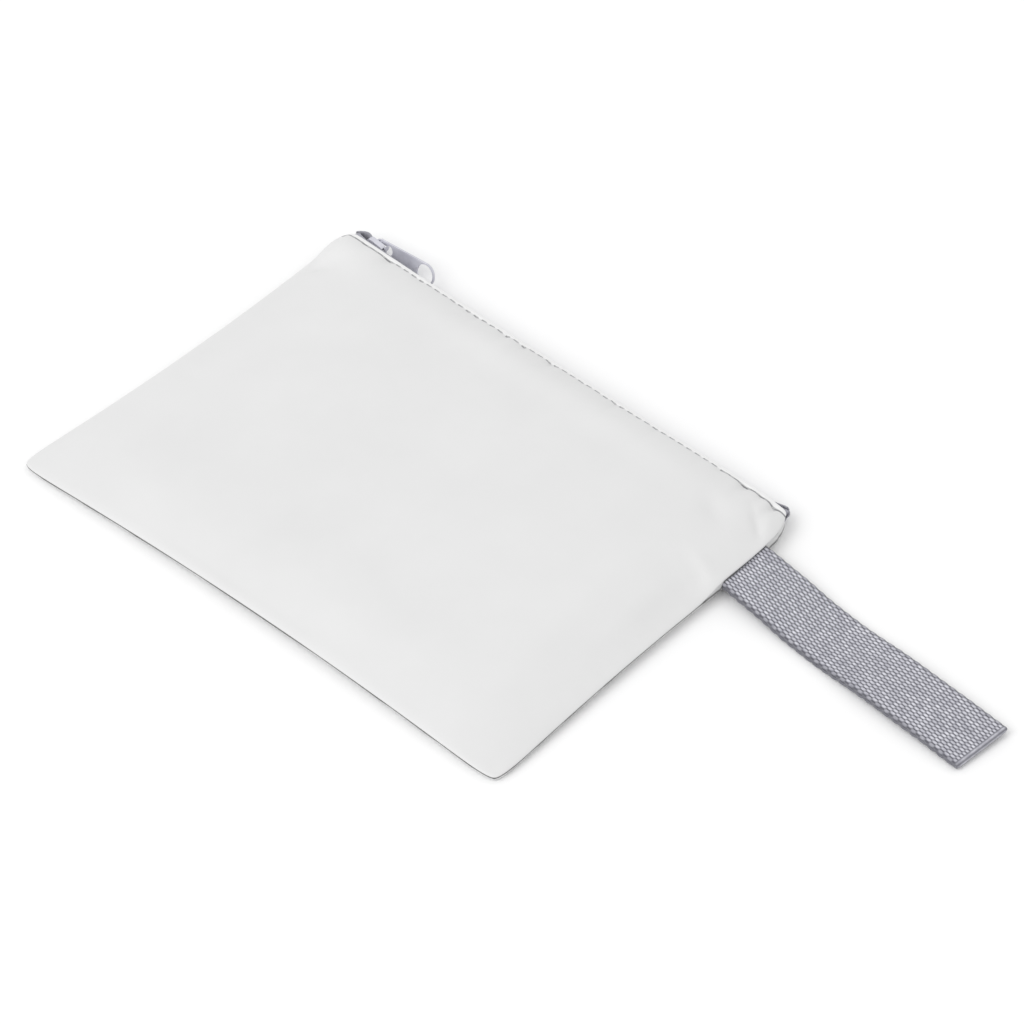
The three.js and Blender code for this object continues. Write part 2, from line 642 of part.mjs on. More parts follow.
function strapGeometry() {
  const path = strapPath();
  const rings = path.map((point, k) => {
    const before = path[Math.max(k - 1, 0)];
    const after = path[Math.min(k + 1, path.length - 1)];
    const way = after.clone().sub(before).normalize();
    const across = new THREE.Vector3(way.z, 0, -way.x);
    const corner = (stand, aside) => {
      const flat = point.clone().addScaledVector(across, stand);
      const share = clamp01(flat.x / STRAP_LENGTH);
      const twist = STRAP_TWIST * share ** 2 * (aside / STRAP_WIDTH + 0.5);
      return new THREE.Vector3(strapStart.x, strapStart.y, flat.z + twist)
        .addScaledVector(strapWay, flat.x)
        .addScaledVector(strapAside, aside - STRAP_BOW * hump(share));
    };
    const thick = WEBBING / 2;
    const wide = STRAP_WIDTH / 2;
    return [corner(thick, -wide), corner(thick, wide), corner(-thick, wide), corner(-thick, -wide)];
  });
  return loftGeometry(rings);
}

// Materials
const whiteCloth = new THREE.MeshStandardMaterial({ color: 0xe9e9ea, roughness: 0.62, metalness: 0 });
const greyTape = new THREE.MeshStandardMaterial({ color: 0x8d8d96, roughness: 0.85, metalness: 0 });
const greyCoil = new THREE.MeshStandardMaterial({ color: 0x85858f, roughness: 0.45, metalness: 0 });
const greyWebbing = new THREE.MeshStandardMaterial({ color: 0xa2a2ab, roughness: 0.8, metalness: 0 });
const paintedMetal = new THREE.MeshStandardMaterial({ color: 0x9a9aa3, roughness: 0.35, metalness: 0.4 });

function named(name, geometry, material) {
  const mesh = new THREE.Mesh(geometry, material);
  mesh.name = name;
  return mesh;
}

const pouch = new THREE.Group();
pouch.name = 'document_pouch';
pouch.add(named('front_panel', panelGeometry(frontInner, 1), whiteCloth));
pouch.add(named('back_panel', panelGeometry(backInner, -1), whiteCloth));
pouch.add(named('zip_tape_front', tapeGeometry(1), greyTape));
pouch.add(named('zip_tape_back', tapeGeometry(-1), greyTape));
pouch.add(named('zip_coil', coilGeometry(), greyCoil));
pouch.add(named('wrist_strap', strapGeometry(), greyWebbing));

// The slider and the pull stand in the slider's own frame on the zip.
const sliderGroup = new THREE.Group();
sliderGroup.applyMatrix4(sliderPlace);
sliderGroup.add(named('zip_slider', sliderGeometry(), paintedMetal));
const pull = named('zip_pull', pullGeometry(), paintedMetal);
pull.position.y = BRIDGE_FOOT + BRIDGE_WINDOW / 2;
pull.rotation.x = -THREE.MathUtils.degToRad(PULL_LEAN);
sliderGroup.add(pull);
pouch.add(sliderGroup);

export default pouch;
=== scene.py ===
# %% [markdown]
# # A white document pouch
#
# The frame is the pouch as it was cut and measured in CAD: two cloth walls, the zip's two tapes,
# its coil, the slider, the pull and the wrist strap, all at their real size. This script gives
# each of them the surface that the real one has, and never moves or resizes the frame.

# %% Load the measured frame
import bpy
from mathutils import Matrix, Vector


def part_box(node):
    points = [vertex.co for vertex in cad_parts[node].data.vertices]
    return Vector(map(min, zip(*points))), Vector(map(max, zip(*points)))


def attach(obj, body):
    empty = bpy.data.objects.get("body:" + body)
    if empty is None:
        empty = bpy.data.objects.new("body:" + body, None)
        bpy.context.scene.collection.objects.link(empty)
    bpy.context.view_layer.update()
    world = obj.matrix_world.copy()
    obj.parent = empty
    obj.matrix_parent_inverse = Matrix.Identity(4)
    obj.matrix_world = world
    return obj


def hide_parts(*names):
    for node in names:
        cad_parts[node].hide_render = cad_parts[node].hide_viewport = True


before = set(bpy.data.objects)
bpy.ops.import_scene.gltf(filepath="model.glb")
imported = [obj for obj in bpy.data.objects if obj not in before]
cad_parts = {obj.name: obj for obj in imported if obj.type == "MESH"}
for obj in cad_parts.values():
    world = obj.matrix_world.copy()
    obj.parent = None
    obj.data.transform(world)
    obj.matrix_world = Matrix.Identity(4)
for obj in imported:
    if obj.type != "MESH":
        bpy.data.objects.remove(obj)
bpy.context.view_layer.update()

# %% What the rest of the script works with
import math

import bpy
import numpy as np
from mathutils import Matrix, Vector, noise
from mathutils.bvhtree import BVHTree

MM = 0.001  # sizes below are written in millimetres, and Blender counts in metres

# %% [markdown]
# ## The camera
#
# The photograph was taken from the pouch's lower right, halfway up, from far off with a long
# lens. The camera stands there, looks at the same point and keeps the same lens, so that a render
# can be laid over the photograph.

# %% Set the camera
LOOK_AT = Vector((31.9, 20.9, 0)) * MM
AZIMUTH, ELEVATION = math.radians(42.19), math.radians(45.12)
CAMERA_AWAY = 2.2
FOCAL_PIXELS, PHOTO_PIXELS, SENSOR = 5958, 1024, 36

back = Vector((
    math.sin(AZIMUTH) * math.cos(ELEVATION),
    -math.cos(AZIMUTH) * math.cos(ELEVATION),
    math.sin(ELEVATION),
))
camera_data = bpy.data.cameras.new("photo_camera")
camera_data.sensor_width = SENSOR
camera_data.lens = FOCAL_PIXELS * SENSOR / PHOTO_PIXELS
camera_data.clip_start, camera_data.clip_end = 0.05, 50
camera = bpy.data.objects.new("photo_camera", camera_data)
camera.location = LOOK_AT + back * CAMERA_AWAY
camera.rotation_mode = "QUATERNION"
camera.rotation_quaternion = (-back).to_track_quat("-Z", "Y")
bpy.context.scene.collection.objects.link(camera)
bpy.context.scene.camera = camera
print("lens", round(camera_data.lens, 1), "mm")

# %% [markdown]
# ## Light and floor
#
# It is a product picture on white: an even white surround, one large soft lamp on the camera's
# left, and a floor so bright that only the contact shadow under the pouch is left of it. The floor
# is the lightest thing in the scene, and the cloth is a little darker than it. The plain colour
# view is used, because a film-like one would turn this white floor grey.

# %% Show colours as they are
bpy.context.scene.view_settings.view_transform = "Standard"

# %% Surround the pouch with even light
SURROUND_STRENGTH = 0.925

world = bpy.data.worlds.new("white_surround")
bpy.context.scene.world = world
world.use_nodes = True
surround = world.node_tree.nodes["Background"]
surround.inputs["Color"].default_value = (1.0, 1.0, 1.0, 1)
surround.inputs["Strength"].default_value = SURROUND_STRENGTH

# %% Hang one soft lamp on the camera's left
LAMP_PLACE, LAMP_SIDE, LAMP_WATTS = (-0.7, -2.2, 2.5), 2.2, 38  # metres, metres and watts


def soft_lamp(name, place, size, watts):
    data = bpy.data.lights.new(name, "AREA")
    data.shape = "SQUARE"
    data.size = size
    data.energy = watts
    lamp = bpy.data.objects.new(name, data)
    lamp.location = place
    lamp.rotation_mode = "QUATERNION"
    lamp.rotation_quaternion = (LOOK_AT - Vector(place)).to_track_quat("-Z", "Y")
    bpy.context.scene.collection.objects.link(lamp)
    return lamp


soft_lamp("window", LAMP_PLACE, LAMP_SIDE, LAMP_WATTS)
print("lamp hung")

# %% [markdown]
# ## Working as by hand
#
# An operator acts on everything that is selected, so each step first clears the selection and
# then picks its own piece. These few helpers keep that habit in one place.

# %% Selecting, and finishing modifiers
def clear_selection():
    if bpy.context.mode != "OBJECT":
        bpy.ops.object.mode_set(mode="OBJECT")
    bpy.ops.object.select_all(action="DESELECT")


def pick(piece):
    clear_selection()
    piece.select_set(True)
    bpy.context.view_layer.objects.active = piece
    return piece


def edit(piece):
    pick(piece)
    bpy.ops.object.mode_set(mode="EDIT")
    bpy.ops.mesh.select_all(action="SELECT")


def finish_modifiers(piece):
    pick(piece)
    for name in [modifier.name for modifier in piece.modifiers]:
        bpy.ops.object.modifier_apply(modifier=name)
    return piece


def points_of(piece):
    flat = np.zeros(len(piece.data.vertices) * 3, np.float32)
    piece.data.vertices.foreach_get("co", flat)
    return flat.reshape(-1, 3).astype(float)


def set_points(piece, points):
    piece.data.vertices.foreach_set("co", np.asarray(points, np.float32).ravel())
    piece.data.update()


RAYS_FROM = 0.05  # metres above or below the floor, well clear of the pouch


def surface_of(piece):
    return BVHTree.FromPolygons(
        [vertex.co.copy() for vertex in piece.data.vertices],
        [tuple(face.vertices) for face in piece.data.polygons],
    )


# %% A copy of a measured piece, to be worked finer
def copy_of_node(node, name):
    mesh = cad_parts[node].data.copy()
    mesh.name = name
    piece = bpy.data.objects.new(name, mesh)
    bpy.context.scene.collection.objects.link(piece)
    pick(piece)
    if mesh.has_custom_normals:
        bpy.ops.mesh.customdata_custom_splitnormals_clear()
    edit(piece)
    bpy.ops.mesh.remove_doubles(threshold=1e-6)
    bpy.ops.mesh.tris_convert_to_quads(face_threshold=math.radians(50), shape_threshold=math.radians(70))
    bpy.ops.mesh.normals_make_consistent(inside=False)
    bpy.ops.object.mode_set(mode="OBJECT")
    return piece


def settle(piece, body, slot, material, *nodes):
    piece.data.materials.clear()
    piece.data.materials.append(material)
    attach(piece, body)
    if nodes:
        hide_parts(*nodes)
    print(piece.name, len(piece.data.polygons), "faces")
    return piece


# %% [markdown]
# ## Effects that several finishes share
#
# A weave is a shader node group: it takes a place on the cloth, counted in threads, and gives back
# the threads' height and a mask for the painted shade in the gaps between them. Mottling is a
# second group. Each is built once, and every cloth uses it with its own thread size.

# %% A small way to write node trees
def link_chain(tree, kind, *inputs, **settings):
    node = tree.nodes.new(kind)
    for key, value in settings.items():
        setattr(node, key, value)
    for index, value in enumerate(inputs):
        if value is None:
            continue
        if isinstance(value, bpy.types.NodeSocket):
            tree.links.new(value, node.inputs[index])
        else:
            node.inputs[index].default_value = value
    return node


def calc(tree, operation, *inputs):
    return link_chain(tree, "ShaderNodeMath", *inputs, operation=operation).outputs[0]


def group_tree(name, inputs, outputs):
    tree = bpy.data.node_groups.new(name, "ShaderNodeTree")
    for label, kind, value in inputs:
        socket = tree.interface.new_socket(label, in_out="INPUT", socket_type=kind)
        if value is not None:
            socket.default_value = value
    for label, kind in outputs:
        tree.interface.new_socket(label, in_out="OUTPUT", socket_type=kind)
    return tree, tree.nodes.new("NodeGroupInput"), tree.nodes.new("NodeGroupOutput")


# %% The weave group
def build_weave():
    tree, enter, leave = group_tree(
        "Plain weave",
        [("Place", "NodeSocketVector", None)],
        [("Height", "NodeSocketFloat"), ("Gap", "NodeSocketFloat")],
    )
    place = link_chain(tree, "ShaderNodeSeparateXYZ", enter.outputs["Place"])
    across = calc(tree, "SINE", calc(tree, "MULTIPLY", place.outputs[0], math.pi))
    along = calc(tree, "SINE", calc(tree, "MULTIPLY", place.outputs[1], math.pi))
    warp_on_top = calc(tree, "MULTIPLY", across, along)
    over = link_chain(tree, "ShaderNodeMapRange", warp_on_top, -0.25, 0.25, 0.0, 1.0)
    warp = calc(tree, "POWER", calc(tree, "ABSOLUTE", across), 0.6)
    weft = calc(tree, "POWER", calc(tree, "ABSOLUTE", along), 0.6)
    height = link_chain(tree, "ShaderNodeMix", over.outputs[0], None, weft, warp).outputs[0]
    tree.links.new(height, leave.inputs["Height"])
    # the gap mask is used only to tint painted shade between the threads
    tallest = calc(tree, "MAXIMUM", warp, weft)
    gap = link_chain(tree, "ShaderNodeMapRange", tallest, 0.35, 0.85, 1.0, 0.0)
    tree.links.new(gap.outputs[0], leave.inputs["Gap"])
    return tree


# %% The mottling group
def build_mottling():
    tree, enter, leave = group_tree(
        "Mottling",
        [("Place", "NodeSocketVector", None), ("Scale", "NodeSocketFloat", 60.0)],
        [("Value", "NodeSocketFloat")],
    )
    cloud = link_chain(
        tree, "ShaderNodeTexNoise", enter.outputs["Place"], None, enter.outputs["Scale"], 3.0, 0.5
    )
    spread = link_chain(tree, "ShaderNodeMapRange", cloud.outputs[0], 0.3, 0.7, 0.0, 1.0)
    tree.links.new(spread.outputs[0], leave.inputs["Value"])
    return tree


WEAVE, MOTTLING = build_weave(), build_mottling()
print("shared effects:", WEAVE.name, "and", MOTTLING.name)

# %% [markdown]
# ## The finishes
#
# White cloth: smooth, close woven and a little satin. The grey parts share one bluish grey dye but
# take light each in its own way: dull webbing and tape, satin nylon coil, and painted metal.

# %% Parts of a finish that every material starts from
def start_finish(name, roughness, **sockets):
    material = bpy.data.materials.new(name)
    material.use_nodes = True
    tree = material.node_tree
    shader = tree.nodes["Principled BSDF"]
    shader.inputs["Roughness"].default_value = roughness
    for label, value in sockets.items():
        shader.inputs[label.replace("_", " ")].default_value = value
    return material, tree, shader


def place_node(tree, source, scale):
    coordinates = tree.nodes.new("ShaderNodeTexCoord")
    mapping = tree.nodes.new("ShaderNodeMapping")
    tree.links.new(coordinates.outputs[source], mapping.inputs["Vector"])
    mapping.inputs["Scale"].default_value = scale
    return mapping.outputs[0]


def use_group(tree, group, place, **values):
    node = tree.nodes.new("ShaderNodeGroup")
    node.node_tree = group
    tree.links.new(place, node.inputs["Place"])
    for label, value in values.items():
        node.inputs[label].default_value = value
    return node


def blend_colours(tree, share, first, second):
    mix = tree.nodes.new("ShaderNodeMix")
    mix.data_type = "RGBA"
    tree.links.new(share, mix.inputs[0])
    for socket, value in ((mix.inputs[6], first), (mix.inputs[7], second)):
        if isinstance(value, bpy.types.NodeSocket):
            tree.links.new(value, socket)
        else:
            socket.default_value = (*value, 1)
    return mix.outputs[2]


def raise_surface(tree, height, strength, distance, before=None):
    bump = tree.nodes.new("ShaderNodeBump")
    bump.inputs["Strength"].default_value = strength
    bump.inputs["Distance"].default_value = distance
    tree.links.new(height, bump.inputs["Height"])
    if before is not None:
        tree.links.new(before, bump.inputs["Normal"])
    return bump.outputs[0]


# %% White cloth
CLOTH_THREAD = 0.42  # mm between threads
HEM_WIDTH = 2.7  # mm from the zip's turned edge to the row of stitches
STITCH_PITCH = 4.1
CLOSE_STITCHES = ((34, 37), (200, 206))  # mm along the zip, where the painted shade dashes run together


def white_cloth():
    material, tree, shader = start_finish("white_cloth", 0.6, Sheen_Weight=0.12, Sheen_Roughness=0.5)
    per_metre = 1 / (CLOTH_THREAD * MM)
    threads = use_group(tree, WEAVE, place_node(tree, "Object", (per_metre, per_metre, per_metre)))
    place = place_node(tree, "Object", (1, 1, 1))
    broad = use_group(tree, MOTTLING, place, Scale=38.0)
    fine = use_group(tree, MOTTLING, place, Scale=900.0)
    tint = blend_colours(tree, broad.outputs[0], (0.69, 0.69, 0.69), (0.71, 0.71, 0.71))
    # painted shade: the gaps between threads are tinted a little darker
    tint = blend_colours(tree, threads.outputs["Gap"], tint, (0.67, 0.67, 0.67))
    from_zip = link_chain(tree, "ShaderNodeSeparateXYZ", place_node(tree, "UV", (1, 1, 1)))
    along_zip, in_from_zip = from_zip.outputs[0], from_zip.outputs[1]
    # painted highlight: the hem strip between the zip's edge and the row of stitches is tinted lighter than
    # the wall
    painted_hem_highlight = link_chain(tree, "ShaderNodeMapRange", in_from_zip, HEM_WIDTH - 0.3, HEM_WIDTH, 1.0, 0.0)
    tint = blend_colours(tree, painted_hem_highlight.outputs[0], tint, (0.82, 0.82, 0.82))
    # painted shade: a dark line along the row of stitches, in dashes at the stitch pitch and unbroken near
    # both ends of the zip
    from_row = calc(tree, "ABSOLUTE", calc(tree, "SUBTRACT", in_from_zip, HEM_WIDTH))
    groove = link_chain(tree, "ShaderNodeMapRange", from_row, 0.1, 0.55, 1.0, 0.0)
    beat = calc(tree, "SINE", calc(tree, "MULTIPLY", along_zip, 2 * math.pi / STITCH_PITCH))
    dash = link_chain(tree, "ShaderNodeMapRange", beat, -0.35, 0.15, 0.0, 1.0).outputs[0]
    left = link_chain(tree, "ShaderNodeMapRange", along_zip, *CLOSE_STITCHES[0], 1.0, 0.0).outputs[0]
    right = link_chain(tree, "ShaderNodeMapRange", along_zip, *CLOSE_STITCHES[1], 0.0, 1.0).outputs[0]
    sunk = calc(tree, "MAXIMUM", dash, calc(tree, "MAXIMUM", left, right))
    sunk = calc(tree, "MULTIPLY", sunk, groove.outputs[0])
    tint = blend_colours(tree, sunk, tint, (0.2, 0.2, 0.21))
    tree.links.new(tint, shader.inputs["Base Color"])
    normal = raise_surface(tree, threads.outputs["Height"], 0.25, 0.04 * MM)
    normal = raise_surface(tree, fine.outputs[0], 0.15, 0.05 * MM, normal)
    level = calc(tree, "SUBTRACT", 1.0, groove.outputs[0])
    normal = raise_surface(tree, level, 0.5, 0.2 * MM, normal)
    tree.links.new(normal, shader.inputs["Normal"])
    return material


# %% The seam's own cloth, with painted shade at its foot; its UV map counts millimetres up from there
FOOT_FULL_SHADE_TO, FOOT_SHADE_ENDS_AT = 0.5, 1.4  # mm


def seam_cloth_painted_shade():
    material, tree, shader = start_finish("seam_cloth_painted_shade", 0.7)
    height = link_chain(tree, "ShaderNodeSeparateXYZ", place_node(tree, "UV", (1, 1, 1))).outputs[1]
    out_of_painted_shade = link_chain(tree, "ShaderNodeMapRange", height, FOOT_FULL_SHADE_TO, FOOT_SHADE_ENDS_AT, 0.0, 1.0)
    # painted shade: near black at the foot, and above it a grey a little darker than the walls
    tint = blend_colours(tree, out_of_painted_shade.outputs[0], (0.13, 0.13, 0.13), (0.64, 0.64, 0.64))
    tree.links.new(tint, shader.inputs["Base Color"])
    fibres = use_group(tree, MOTTLING, place_node(tree, "Object", (1, 1, 1)), Scale=4000.0)
    normal = raise_surface(tree, fibres.outputs[0], 0.3, 0.04 * MM)
    tree.links.new(normal, shader.inputs["Normal"])
    return material


# %% Grey tape, with painted shade in the gaps of its weave
def woven_grey(name, source, cells, light, dark, thread_height, roughness):
    material, tree, shader = start_finish(name, roughness, Sheen_Weight=0.2, Sheen_Roughness=0.4)
    threads = use_group(tree, WEAVE, place_node(tree, source, cells))
    object_place = place_node(tree, "Object", (1, 1, 1))
    broad = use_group(tree, MOTTLING, object_place, Scale=90.0)
    fine = use_group(tree, MOTTLING, object_place, Scale=2600.0)
    darker = tuple(0.86 * part for part in light)
    tint = blend_colours(tree, broad.outputs[0], darker, light)
    # painted shade: the gaps between threads, and on the coil's cords the gaps between turns, are tinted
    # dark
    tint = blend_colours(tree, threads.outputs["Gap"], tint, dark)
    tree.links.new(tint, shader.inputs["Base Color"])
    normal = raise_surface(tree, threads.outputs["Height"], 0.6, thread_height)
    normal = raise_surface(tree, fine.outputs[0], 0.35, 0.06 * MM, normal)
    tree.links.new(normal, shader.inputs["Normal"])
    return material


# %% Nylon coil, sewing thread and painted metal
def plain_grey(name, light, dark, roughness, grain_scale, grain_height, **sockets):
    material, tree, shader = start_finish(name, roughness, **sockets)
    place = place_node(tree, "Object", (1, 1, 1))
    broad = use_group(tree, MOTTLING, place, Scale=150.0)
    grain = use_group(tree, MOTTLING, place, Scale=grain_scale)
    tree.links.new(blend_colours(tree, broad.outputs[0], dark, light), shader.inputs["Base Color"])
    smoothest, roughest = roughness - 0.06, roughness + 0.08
    rough = link_chain(tree, "ShaderNodeMapRange", grain.outputs[0], 0.0, 1.0, smoothest, roughest)
    tree.links.new(rough.outputs[0], shader.inputs["Roughness"])
    tree.links.new(raise_surface(tree, grain.outputs[0], 0.3, grain_height), shader.inputs["Normal"])
    return material


# %% Grey webbing, whose UV map counts its floats, and whose fold shows ribs instead; its crests carry painted highlight and its gaps painted shade
FOLD_RIBS = (0.75, 1.0)  # floats from the fold's middle: all ribs up to the first, none past the second


def webbing_finish(fold_at, yarns):
    material, tree, shader = start_finish("grey_webbing", 0.7, Sheen_Weight=0.2, Sheen_Roughness=0.4)
    place = link_chain(tree, "ShaderNodeSeparateXYZ", place_node(tree, "UV", (1, 1, 1)))
    across = calc(tree, "SINE", calc(tree, "MULTIPLY", place.outputs[0], math.pi))
    along = calc(tree, "SINE", calc(tree, "MULTIPLY", place.outputs[1], math.pi))
    bricks = calc(tree, "MULTIPLY", across, along)
    from_fold = calc(tree, "SUBTRACT", place.outputs[1], fold_at)
    ribs = calc(tree, "COSINE", calc(tree, "MULTIPLY", from_fold, 4 * math.pi))
    ribs = calc(tree, "MULTIPLY_ADD", ribs, 0.28, 0.12)
    near = calc(tree, "ABSOLUTE", from_fold)
    folded = link_chain(tree, "ShaderNodeMapRange", near, *FOLD_RIBS, 1.0, 0.0).outputs[0]
    crest = link_chain(tree, "ShaderNodeMix", folded, None, bricks, ribs).outputs[0]
    object_place = place_node(tree, "Object", (1, 1, 1))
    patchy = use_group(tree, MOTTLING, object_place, Scale=420.0)
    fibres = use_group(tree, MOTTLING, object_place, Scale=3000.0)
    # painted light and shade: float crests and the fold's ribs are tinted light, the gaps between them near
    # black; the mottling of the light tone is the yarn's own
    light = blend_colours(tree, patchy.outputs[0], (0.43, 0.43, 0.485), (0.68, 0.68, 0.74))
    share = link_chain(tree, "ShaderNodeMapRange", crest, -0.35, 0.6, 0.0, 1.0).outputs[0]
    yarn = place.outputs[0]
    # painted shade: the crests' light tint fades towards the strap's two edges, where they round away
    from_edge = calc(tree, "MINIMUM", yarn, calc(tree, "SUBTRACT", float(yarns), yarn))
    inside = link_chain(tree, "ShaderNodeMapRange", from_edge, 0.2, 1.7, 0.4, 1.0).outputs[0]
    tint = blend_colours(tree, calc(tree, "MULTIPLY", share, inside), (0.1, 0.1, 0.12), light)
    tree.links.new(tint, shader.inputs["Base Color"])
    normal = raise_surface(tree, crest, 0.5, 0.16 * MM)
    normal = raise_surface(tree, fibres.outputs[0], 0.35, 0.06 * MM, normal)
    tree.links.new(normal, shader.inputs["Normal"])
    return material


# %% Mix the finishes
TAPE_THREAD = 0.55
COIL_PITCH = 1.3

CLOTH, SEAM = white_cloth(), seam_cloth_painted_shade()
TAPE = woven_grey(
    "grey_tape", "Object", (1 / (TAPE_THREAD * MM),) * 3,
    (0.42, 0.42, 0.47), (0.2, 0.2, 0.23), 0.1 * MM, 0.8,
)
CORD = woven_grey(
    "coil_cords", "Object", (1 / (COIL_PITCH / 2 * MM),) * 3,
    (0.36, 0.36, 0.4), (0.12, 0.12, 0.14), 0.2 * MM, 0.7,
)
COIL = plain_grey("grey_coil", (0.42, 0.42, 0.47), (0.3, 0.3, 0.34), 0.5, 1500.0, 0.01 * MM)
THREAD = plain_grey("sewing_thread", (0.55, 0.55, 0.55), (0.4, 0.4, 0.41), 0.7, 4000.0, 0.04 * MM)
METAL = plain_grey(
    "painted_metal", (0.68, 0.68, 0.74), (0.52, 0.52, 0.58), 0.4, 2200.0, 0.03 * MM,
    Coat_Weight=0.15, Coat_Roughness=0.3,
)
print("finishes mixed")

# %% [markdown]
# ## The floor
#
# A plain sheet that runs out of the picture on every side. It is not part of the pouch.

# %% Lay the floor
FLOOR_SIDE, FLOOR_WHITE = 12, 0.92  # metres, and the share of light that it gives back
FLOOR_DROP = 0.05  # mm under the pouch

clear_selection()
bpy.ops.mesh.primitive_plane_add(size=FLOOR_SIDE, location=(0, 0, -FLOOR_DROP * MM))
floor = bpy.context.object
floor.name = "floor"
floor_finish, _, floor_shader = start_finish("white_floor", 0.9)
floor_shader.inputs["Base Color"].default_value = (FLOOR_WHITE, FLOOR_WHITE, FLOOR_WHITE, 1)
floor.data.materials.append(floor_finish)
print("floor laid")

# %% [markdown]
# ## The two cloth walls
#
# Each wall is one piece of cloth, cut, sewn and turned. The measured wall has its true outline and
# fullness, so a finer copy of it is smoothed, and then creased the way that a hand would push
# clay: every fold has a place, a heading, a length, a width and a height. Close to the seams the
# stitching gathers the cloth into small puckers, and the whole wall waves a little.

# %% A finer copy of a wall
def finer_wall(node, name):
    wall = copy_of_node(node, name)
    smooth = wall.modifiers.new("smooth", "SUBSURF")
    smooth.levels = smooth.render_levels = 2
    smooth.boundary_smooth = "ALL"
    finish_modifiers(wall)
    bpy.ops.object.shade_smooth()
    return wall


# %% A wall's outline, read from its measured rim by rays from outside
OUTLINE_STEPS = 480
RIM_STEP = 0.4  # mm between the heights at which rays are sent
CORNER_REACH = 0.2  # metres, from the pouch's middle to where the rays start


def outline_of(node):
    skin = surface_of(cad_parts[node])
    low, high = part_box(node)
    rim = []
    for turn in np.linspace(-math.pi, math.pi, OUTLINE_STEPS, endpoint=False):
        outward = Vector((math.cos(turn), math.sin(turn), 0))
        hits = [
            skin.ray_cast(outward * CORNER_REACH + Vector((0, 0, z)), -outward, CORNER_REACH)[0]
            for z in np.arange(low.z + 0.05 * MM, high.z, RIM_STEP * MM)
        ]
        rim.append(max((hit for hit in hits if hit is not None), key=lambda hit: hit.xy.length))
    return np.array([(hit.x, hit.y) for hit in rim])


# %% How far a point is from a line of places, and how far along that line
def line_distance(points, line):
    nearest = np.full(len(points), 1e9)
    along = np.zeros(len(points))
    walked = 0.0
    for start, end in zip(line[:-1], line[1:]):
        way = end - start
        length = math.hypot(*way)
        share = np.clip((points[:, :2] - start) @ way / length ** 2, 0, 1)
        away = np.hypot(*(points[:, :2] - start - share[:, None] * way).T)
        closer = away < nearest
        nearest[closer] = away[closer]
        along[closer] = (walked + share * length)[closer]
        walked += length
    return nearest, along


# %% The stretch of an outline that the zip takes
ZIP_EDGE_ABOVE, ZIP_EDGE_WITHIN = 0.0815, 0.1105  # metres up the pouch, and from its middle


def zip_edge(outline, past=0.0):
    """The part of an outline that runs along the zip, from left to right, and a straight bit past it."""
    upper = outline[(outline[:, 1] > ZIP_EDGE_ABOVE) & (np.abs(outline[:, 0]) < ZIP_EDGE_WITHIN)]
    edge = upper[np.argsort(upper[:, 0])]
    if not past:
        return edge
    first, last = edge[0] - edge[2], edge[-1] - edge[-3]
    return np.vstack([
        edge[0] + first / math.hypot(*first) * past, edge, edge[-1] + last / math.hypot(*last) * past,
    ])


# %% A soft step from 0 to 1
def ease(value):
    share = np.clip(value, 0, 1)
    return share * share * (3 - 2 * share)


# %% Folds of the front wall
# x, y and sizes in millimetres, heading in degrees, sharp 0 for a soft fold and 1 for a crease
FRONT_FOLDS = [
    # x, y, heading, half length, half width, rise, sharp
    (0.0, -76.0, 0, 95.0, 9.0, -0.7, 0.0),
    (0.0, -54.0, 0, 95.0, 15.0, 0.9, 0.0),
    (93.0, -26.0, 90, 44.0, 11.0, 1.3, 0.0),
    (104.5, 6.0, 90, 24.0, 6.0, 1.1, 0.0),
    (10.0, 71.5, 0, 85.0, 7.5, 1.6, 0.0),
    (-106.5, 66.0, 53, 8.0, 2.0, -0.8, 0.6),
    (-108.5, 71.5, 52, 7.0, 3.0, 0.6, 0.0),
    (109.5, 68.8, -38, 9.0, 1.5, -1.1, 0.8),
    (113.0, 72.5, -38, 8.0, 3.0, 0.7, 0.0),
    (110.0, 40.2, -20, 9.0, 1.8, 0.6, 0.7),
    (108.0, 36.6, -20, 9.0, 2.6, -0.5, 0.2),
    (115.5, 20.0, 6, 4.5, 1.6, -0.3, 0.6),
    (115.8, 9.0, 8, 5.5, 1.8, -0.4, 0.5),
    (116.0, -4.0, -4, 4.5, 1.6, -0.3, 0.5),
    (115.8, -20.0, 10, 5.0, 1.8, -0.3, 0.5),
    (-105.5, 6.3, 43, 5.0, 1.7, -0.35, 0.5),
    (-103.8, -10.6, -17, 6.5, 1.7, -0.35, 0.5),
    (-44.5, 76.5, 23, 4.0, 1.3, -0.3, 0.5),
    (-28.0, 78.5, 51, 3.2, 1.3, -0.28, 0.5),
    (26.0, 70.0, 37, 5.0, 1.8, -0.25, 0.3),
    (92.5, 64.0, -30, 7.0, 4.0, -0.9, 0.0),
]


def fold_rise(points, folds):
    rise = np.zeros(len(points))
    for x, y, heading, long, wide, height, sharp in folds:
        turn = math.radians(heading)
        dx, dy = points[:, 0] / MM - x, points[:, 1] / MM - y
        along = (dx * math.cos(turn) + dy * math.sin(turn)) / long
        aside = np.abs(dy * math.cos(turn) - dx * math.sin(turn)) / wide
        soft, crisp = np.exp(-aside ** 2), np.exp(-1.4 * aside)
        rise += height * MM * np.exp(-along ** 2) * (crisp * sharp + soft * (1 - sharp))
    return rise


# %% Waves, as noise steps in a metre and a height in millimetres
BROAD_WAVE, SMALL_WAVE, SEAM_GATHER = (17, 0.42), (60, 0.09), (150, 0.3)
GATHER_REACH = 5  # mm from a seam


def wave_at(x, y, wave, seed):
    steps, height = wave
    return height * noise.noise(Vector((x * steps, y * steps, seed)))


